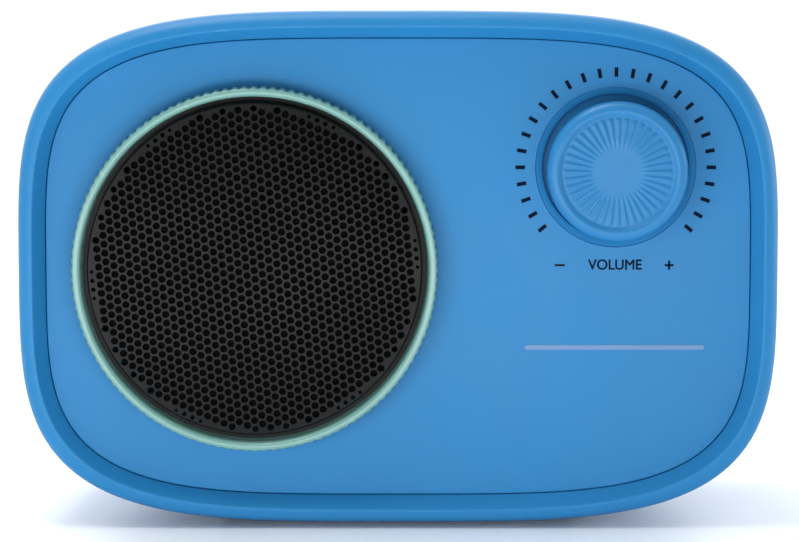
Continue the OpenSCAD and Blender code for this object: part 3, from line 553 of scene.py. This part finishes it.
def front_panel():
    """Inset panel with the speaker opening, the knob's dish and the posts behind."""
    s = Solid()
    a, b = HALF_W - RIM_W, HALF_H - RIM_W
    speaker, knob = (SPEAKER[0], SPEAKER[2]), (KNOB[0], KNOB[2])
    edge = 0.22
    hole_r, dish_r, pad_r, bush_r, screw_r = 34.6, 16.95, 18.0, 4.6, 41

    def keep_outside(r_knob):
        return lambda x, z: (inside_outline(x, z, a, b, PANEL_SQUARENESS)
                             and math.hypot(x - speaker[0], z - speaker[1]) > hole_r - 0.001
                             and math.hypot(x - knob[0], z - knob[1]) > r_knob - 0.001)

    front = s.sheet_with_holes(
        [outline(a - edge, b - edge, PANEL_SQUARENESS), flat_circle(speaker, hole_r, 256),
         flat_circle(knob, dish_r, 192), outline(a - 1, b - 1, PANEL_SQUARENESS),
         outline(a - 3, b - 3, PANEL_SQUARENESS, 240), flat_circle(speaker, hole_r + 1, 256),
         flat_circle(speaker, hole_r + 6, 128), flat_circle(knob, dish_r + 0.6, 192),
         flat_circle(knob, dish_r + 1.6, 128)], PANEL_Y, keep_outside(dish_r))
    rim = front[0]
    for k in np.linspace(0, math.pi / 2, 5)[1:]:
        out = edge * (1 - math.sin(k))
        step = s.add([(x, PANEL_Y + edge * (1 - math.cos(k)), z)
                      for x, z in outline(a - out, b - out, PANEL_SQUARENESS)])
        s.bridge(rim, step)
        rim = step
    behind = s.sheet_with_holes(
        [outline(a, b, PANEL_SQUARENESS), flat_circle(speaker, hole_r, 256),
         flat_circle(knob, pad_r, 128)], PANEL_BACK, keep_outside(pad_r), flip=True)
    s.bridge(rim, behind[0])
    s.bridge(behind[1], front[1])
    dish = front[2]
    lip = [[dish_r - 0.04, PANEL_Y + 0.12], [dish_r - 0.14, PANEL_Y + 0.27],
           [dish_r - 0.4, PANEL_Y + 0.32]]
    slope = [[16.0, PANEL_Y + 0.45], [15.5, PANEL_Y + 0.7], [15.35, PANEL_Y + 0.95]]
    for r, y in lip + slope + [[15.3, DISH_Y + 0.9], [13.6, DISH_Y + 0.9], [13.2, DISH_Y],
                               [bush_r, DISH_Y]]:
        step = s.add(circle(knob, r, y, 192))
        s.bridge(step, dish)
        dish = step
    pad_y = PANEL_BACK + 1.6
    bush = s.add(circle(knob, bush_r, pad_y, 192))
    s.bridge(bush, dish)
    pad = s.add(circle(knob, pad_r, pad_y, 128))
    s.bridge(behind[2], pad)
    s.faces += pair_rings(pad, bush)
    case_posts = ((-64, 22), (-57, -37.5), (64, 20), (57, -37.5))
    board_posts = [(x, z) for x in (18.5, 55.5) for z in (-29.5, 12)]
    posts = [(at, 52.8, 3.0, 1.3) for at in case_posts]
    posts += [(at, 45.0, 2.8, 1.0) for at in board_posts]
    for at, y, r, bore in posts:
        s.turn(at, [[r, PANEL_BACK], [r, y - 0.4], [r - 0.4, y], [bore, y], [bore, y - 12],
                    [0.05, y - 12.4], [0.05, PANEL_BACK]], 48)
    for k in range(4):      # bosses for the speaker's screws
        angle = math.radians(45 + 90 * k)
        at = (speaker[0] + screw_r * math.cos(angle), speaker[1] + screw_r * math.sin(angle))
        s.turn(at, [[3.2, PANEL_BACK], [3.2, SPEAKER_Y + 6.8], [1.35, SPEAKER_Y + 6.8],
                    [1.35, PANEL_BACK]], 48)
    for x in (-30, 0, 30):      # snap tabs, with their hooks turned outward
        for side in (-1, 1):
            z = side * (HALF_H - RIM_W - 3.3)
            block(s, (x - 4, PANEL_BACK, z - 0.8), (x + 4, PANEL_BACK + 4, z + 0.8))
            block(s, (x - 4, PANEL_BACK + 2.2, z - (0.8 if side > 0 else 2.8)),
                  (x + 4, PANEL_BACK + 4, z + (2.8 if side > 0 else 0.8)))
    return s.build("front_panel_moulding", ROOT, MAT["cabinet_blue"],
                   ["front_panel"], 32)


def pair_rings(outer, inner):
    """Triangles between two rings, which may differ in their number of points."""
    faces, i, j = [], 0, 0
    n, m = len(outer), len(inner)
    while i < n or j < m:
        if j * n <= i * m and j < m:
            faces.append((outer[i % n], inner[j % m], inner[(j + 1) % m]))
            j += 1
        else:
            faces.append((outer[i % n], inner[j % m], outer[(i + 1) % n]))
            i += 1
    return faces


def block(s, low, high):
    """A closed box between two corners."""
    (x0, y0, z0), (x1, y1, z1) = low, high
    n = s.add([(x, y, z) for y in (y0, y1) for x, z in ((x0, z0), (x1, z0), (x1, z1), (x0, z1))])
    s.faces += [(n[0], n[1], n[2], n[3]), (n[7], n[6], n[5], n[4]), (n[0], n[4], n[5], n[1]),
                (n[1], n[5], n[6], n[2]), (n[2], n[6], n[7], n[3]), (n[3], n[7], n[4], n[0])]


def trim_ring():
    """Pale bead with a rounded crest and a finely serrated outer wall."""
    teeth, per_tooth, depth = 120, 12, 0.4
    outer, inner, top = TRIM_R, TRIM_R - 2, case_box("trim_ring")[0][1]
    at = (SPEAKER[0], SPEAKER[2])
    profile = [(outer, PANEL_Y, 1), (outer, 3.0, 1), (outer, 1.6, 1), (outer, 0.9, 1)]
    profile += [(outer - 0.8 * (1 - math.sin(k)), top + 1.1 * (1 - math.cos(k)), math.sin(k) ** 4)
                for k in np.linspace(math.pi / 2, 0.12, 9)]
    profile += [(inner + 0.9 * (1 - math.sin(k)), top + 1.2 * (1 - math.cos(k)), 0)
                for k in np.linspace(0.12, math.pi / 2, 9)]
    foot = inner - 0.26
    profile += [(inner, 2.4, 0), (inner, 3.2, 0), (foot, 3.6, 0), (foot, PANEL_Y, 0)]
    steps = teeth * per_tooth
    rings = []
    for r, y, share in profile:
        ring = []
        for i in range(steps):
            a = 2 * math.pi * i / steps
            groove = (0.5 - 0.5 * math.cos(teeth * a)) ** 1.4
            rr = r - depth * share * groove
            ring.append((at[0] + rr * math.cos(a), y, at[1] + rr * math.sin(a)))
        rings.append(ring)
    s = Solid()
    s.loft(rings, loop=True)
    return s.build("speaker_trim_ring", ROOT, MAT["mint_trim"], ["trim_ring"], 50)


def grille():
    """Drawn metal cap: a domed sheet with round holes on a hexagonal pitch, smaller along the
    edge, a wall and a flange."""
    at = (SPEAKER[0], SPEAKER[2])
    pitch, hole_r, lip, turn = 1.88, 0.71, 0.1, math.radians(5.6)
    flange_r = TRIM_R - 2.3
    cap_r, cap_y, sheet_t = flange_r - 1, 1.6, 0.6
    crease_r = cap_r - 0.5
    dome = 1.7
    sides = 12

    def depth(x, z):
        r = min(math.hypot(x - at[0], z - at[1]), crease_r)
        return cap_y - dome * (1 - (r / cap_r) ** 2)

    centres = []
    rows = int(cap_r / pitch) + 3
    for i in range(-rows * 2, rows * 2 + 1):
        for j in range(-rows, rows + 1):
            u = (i + 0.5 * (j % 2)) * pitch
            v = j * pitch * math.sqrt(3) / 2
            x = v * math.cos(turn) - u * math.sin(turn)
            z = v * math.sin(turn) + u * math.cos(turn)
            size = min(1.0, (crease_r - 0.1 - math.hypot(x, z)) / (hole_r + lip))
            if size > 0.35:
                centres.append((at[0] + x, at[1] + z, size))
    cells = {}
    for c in centres:
        cells.setdefault((int(c[0] // pitch), int(c[1] // pitch)), []).append(c)

    def keep(reach):
        def solid_at(x, z):
            if math.hypot(x - at[0], z - at[1]) > crease_r:
                return False
            kx, kz = int(x // pitch), int(z // pitch)
            return not any((x - c[0]) ** 2 + (z - c[1]) ** 2 < (reach * c[2]) ** 2
                           for i in (-1, 0, 1) for j in (-1, 0, 1)
                           for c in cells.get((kx + i, kz + j), ()))
        return solid_at

    s = Solid()
    edge = flat_circle(at, crease_r, 256)

    def sheet(radius, y, flip):
        loops = [edge] + [flat_circle(c, radius * c[2], sides) for c in centres]
        return s.sheet_with_holes(loops, y, keep(radius * 0.95), flip)

    front = sheet(hole_r + lip, 0, False)
    rear = sheet(hole_r, sheet_t, True)
    for i, c in enumerate(centres):
        wall = s.add(circle(c, hole_r * c[2], lip, sides))
        s.bridge(wall, front[1 + i])
        s.bridge(rear[1 + i], wall)
    s.points = [(x, y + depth(x, z), z) for x, y, z in s.points]
    outside = [[crease_r + 0.5 * math.sin(k), cap_y - 0.08 + 0.5 * (1 - math.cos(k))]
               for k in np.linspace(0.4, math.pi / 2, 5)]
    outside += [[cap_r, PANEL_Y - sheet_t], [flange_r, PANEL_Y - sheet_t], [flange_r, PANEL_Y],
                [cap_r - sheet_t, PANEL_Y], [cap_r - sheet_t, cap_y + sheet_t]]
    last = front[0]
    for r, y in outside:
        step = s.add(circle(at, r, y, 256))
        s.bridge(last, step)
        last = step
    s.bridge(last, rear[0])
    return s.build("speaker_grille_sheet", ROOT, MAT["grille_black"],
                   ["speaker_grille"], 40)


def volume_knob():
    """Turned knob with a rounded rim and soft ribs round a plain middle."""
    at = (KNOB[0], KNOB[2])
    low, high = case_box("volume_knob")
    top, base, r = low[1], high[1], (high[0] - low[0]) / 2
    face = top + 0.75
    ribs, per_rib = 40, 12
    steps = ribs * per_rib
    side = [(9.0, 0.0, face + 2.2), (9.0, 0, base), (r - 1.7, 0, base),
            (r - 1.4, 0, base - 0.3), (r - 0.7, 0, 1.0), (r - 0.12, 0, top + 3.2)]
    side += [(r - 1.9 * (1 - math.cos(k)), 0, top + 2.2 * (1 - math.sin(k)))
             for k in np.linspace(0, math.pi / 2, 14)]
    side += [(r - 2.2, 0, top + 0.06), (r - 2.5, 0, top + 0.26), (r - 2.75, 0, top + 0.5),
             (r - 2.95, 0, face - 0.06), (r - 3.15, 0, face)]
    ribbed = [(q, 0.26 * min(1, (q - 5.0) / 2.2) * min(1, (11.5 - q) / 0.7), face)
              for q in (11.5, 11.3, 11.05, 10.8, 10.0, 9.0, 8.0, 7.2, 6.4, 5.8, 5.3, 5.0)]
    s = Solid()
    rings = []
    for q, rib, y in side + ribbed:
        ring = []
        for i in range(steps):
            a = 2 * math.pi * i / steps
            crest = (0.5 + 0.5 * math.cos(ribs * a)) ** 1.3
            ring.append((at[0] + q * math.cos(a), y - rib * crest, at[1] + q * math.sin(a)))
        rings.append(ring)
    loops = s.loft(list(reversed(rings)))
    last = loops[0]
    for q, count in ((3.6, 96), (1.6, 24)):     # plain middle of the face
        step = s.add(circle(at, q, face, count))
        s.faces += pair_rings(last, step)
        last = step
    s.faces.append(tuple(last))
    root = s.add([(at[0], face + 2.2, at[1])])[0]
    for i in range(steps):
        k = (i + 1) % steps
        s.faces.append((root, loops[-1][k], loops[-1][i]))
    s.turn(at, [[5.4, face + 2.2], [5.4, 1.0], [5.2, 1.2], [3.02, 1.2], [3.02, face + 2.2]], 64)
    return s.build("volume_knob_cap", "volume_control", MAT["knob_blue"],
                   ["volume_knob"], 38)


def legend():
    """Generic function lettering under the dial, and its minus and plus signs."""
    z, thick = 0.55, 0.1
    curve = bpy.data.curves.new("legend_outline", "FONT")
    curve.body = "VOLUME"
    curve.align_x = curve.align_y = "CENTER"
    curve.size = 3.05
    curve.bevel_depth = thick / 2
    holder = bpy.data.objects.new("legend_outline", curve)
    bpy.context.scene.collection.objects.link(holder)
    bpy.context.view_layer.update()
    mesh = bpy.data.meshes.new_from_object(holder)
    bpy.data.objects.remove(holder)
    for v in mesh.vertices:
        v.co = place(KNOB[0] + v.co.x * 0.95, PANEL_Y - thick / 2 - v.co.z, z + v.co.y)
    mesh.name = "legend_word"
    finish_piece("legend_word", mesh, ROOT, MAT["print_black"], ["volume_legend"])
    signs = Solid()
    for x, w, h in ((KNOB[0] - 11.7, 2.1, 0.42), (KNOB[0] + 11.4, 1.9, 0.42),
                    (KNOB[0] + 11.4, 0.42, 1.9)):
        block(signs, (x - w / 2, PANEL_Y - thick, z - h / 2), (x + w / 2, PANEL_Y, z + h / 2))
    signs.build("legend_signs", ROOT, MAT["print_black"])


def softened(node, width):
    """The CAD's own shape with its sharp edges rounded to the given width in millimetres."""
    source = frame["nodes"][node]
    part = next(p for p in frame["record"]["subparts"] if p["node"] == node)
    work = bmesh.new()
    work.from_mesh(source.data)
    work.transform(source.matrix_world)
    bmesh.ops.remove_doubles(work, verts=work.verts, dist=1e-6)
    bmesh.ops.dissolve_limit(work, angle_limit=math.radians(0.8), verts=work.verts,
                             edges=work.edges, use_dissolve_boundaries=False)
    sharp = [e for e in work.edges
             if len(e.link_faces) == 2 and e.calc_face_angle(0) > math.radians(35)]
    bmesh.ops.bevel(work, geom=sharp, offset=width * MM, offset_type="OFFSET", segments=3,
                    profile=0.5, affect="EDGES", clamp_overlap=True)
    mesh = bpy.data.meshes.new(node + "_soft")
    work.to_mesh(mesh)
    work.free()
    return finish_piece(node + "_soft", mesh, body_of(source)[0],
                        MAT[part["material_slot"]], [node], 32)


def dress_cad_nodes():
    """The CAD nodes that stay get the material of their slot."""
    for part in frame["record"]["subparts"]:
        piece = frame["nodes"][part["node"]]
        if not piece.hide_render:
            piece.data.materials.clear()
            piece.data.materials.append(MAT[part["material_slot"]])


# ---- Floor, light and camera ----

def studio():
    """Pale floor, a bright backdrop and four soft lights."""
    h = 6.0
    floor_mesh = bpy.data.meshes.new("floor")
    floor_mesh.from_pydata([(-h, -h, 0), (h, -h, 0), (h, h, 0), (-h, h, 0)], [], [(0, 1, 2, 3)])
    floor = bpy.data.objects.new("floor", floor_mesh)
    bpy.context.scene.collection.objects.link(floor)
    m, nodes, links, p = new_material("floor_white")
    soft = noise(nodes, links, 3, 2)
    tone = ramp(nodes, links, soft.outputs["Fac"], 0.3, 0.7, (0.91, 0.95, 0.98), (0.93, 0.97, 1.0))
    links.new(tone.outputs["Color"], p.inputs["Base Color"])
    p.inputs["Roughness"].default_value = 0.3
    p.inputs["Specular IOR Level"].default_value = 0.12
    floor_mesh.materials.append(m)

    # Bright backdrop behind the radio, dimmer room in front of it and overhead
    world = bpy.data.worlds.new("studio")
    world.use_nodes = True
    nodes, links = world.node_tree.nodes, world.node_tree.links
    where = nodes.new("ShaderNodeTexCoord")
    split = nodes.new("ShaderNodeSeparateXYZ")
    links.new(where.outputs["Generated"], split.inputs["Vector"])
    level = spread(nodes, links, split.outputs["Y"], -0.5, 0.6, 0.46, 1.8)
    above = spread(nodes, links, split.outputs["Z"], 0.1, 0.8, 1.0, 0.8)
    both = nodes.new("ShaderNodeMath")
    both.operation = "MULTIPLY"
    links.new(level.outputs["Result"], both.inputs[0])
    links.new(above.outputs["Result"], both.inputs[1])
    links.new(both.outputs["Value"], nodes["Background"].inputs["Strength"])
    nodes["Background"].inputs["Color"].default_value = (0.97, 0.985, 1.0, 1)
    bpy.context.scene.world = world

    middle = place(0, 0, 0)
    for name, offset, aim, size, power in (
            ("key", (-0.7, -0.9, 0.05), (0, 0, 0), (0.5, 0.4), 2.2),
            ("low", (-0.03, -0.2, -0.025), (0, 0, 0), (0.3, 0.05), 0.26),
            ("top", (-0.12, 0.02, 0.5), (0, -0.03, 0), (0.4, 0.25), 2.0),
            ("side", (0.8, 0.15, 0.1), (0, 0.03, 0), (0.5, 0.3), 1.9)):
        light = bpy.data.lights.new(name, "AREA")
        light.shape = "RECTANGLE"
        light.size, light.size_y = size
        light.energy = power
        lamp = bpy.data.objects.new(name, light)
        lamp.location = middle + Vector(offset)
        lamp.rotation_euler = (Vector(aim) - Vector(offset)).to_track_quat("-Z", "Y").to_euler()
        lamp.visible_camera = False
        bpy.context.scene.collection.objects.link(lamp)


def camera():
    """Long lens a little above the radio's middle; the case fills most of the picture."""
    elevation, distance = math.radians(7.5), 0.85
    share_of_width = 0.95369
    target = place(0.3, 0, -0.1)
    data = bpy.data.cameras.new("camera")
    data.lens = data.sensor_width * share_of_width * distance / (2 * HALF_W * MM)
    view = bpy.data.objects.new("camera", data)
    view.location = target + distance * Vector((0, -math.cos(elevation), math.sin(elevation)))
    view.rotation_euler = (target - view.location).to_track_quat("-Z", "Y").to_euler()
    bpy.context.scene.collection.objects.link(view)
    bpy.context.scene.camera = view


# ---- The model ----

cabinet()
front_panel()
trim_ring()
grille()
volume_knob()
legend()
for node, width in (
        ("battery_door", 0.25), ("power_slider", 0.15), ("band_slider", 0.15),
        ("case_screws", 0.12), ("rubber_feet", 0.5), ("aux_jack", 0.15), ("usb_port", 0.08),
        ("dial_marks", 0.04), ("badge_bar", 0.04), ("antenna_swivel", 0.15),
        ("antenna_outer_tube", 0.2), ("antenna_middle_tube", 0.15), ("antenna_inner_rod", 0.15)):
    softened(node, width)
dress_cad_nodes()
studio()
camera()
bpy.context.scene.view_settings.view_transform = "Standard"
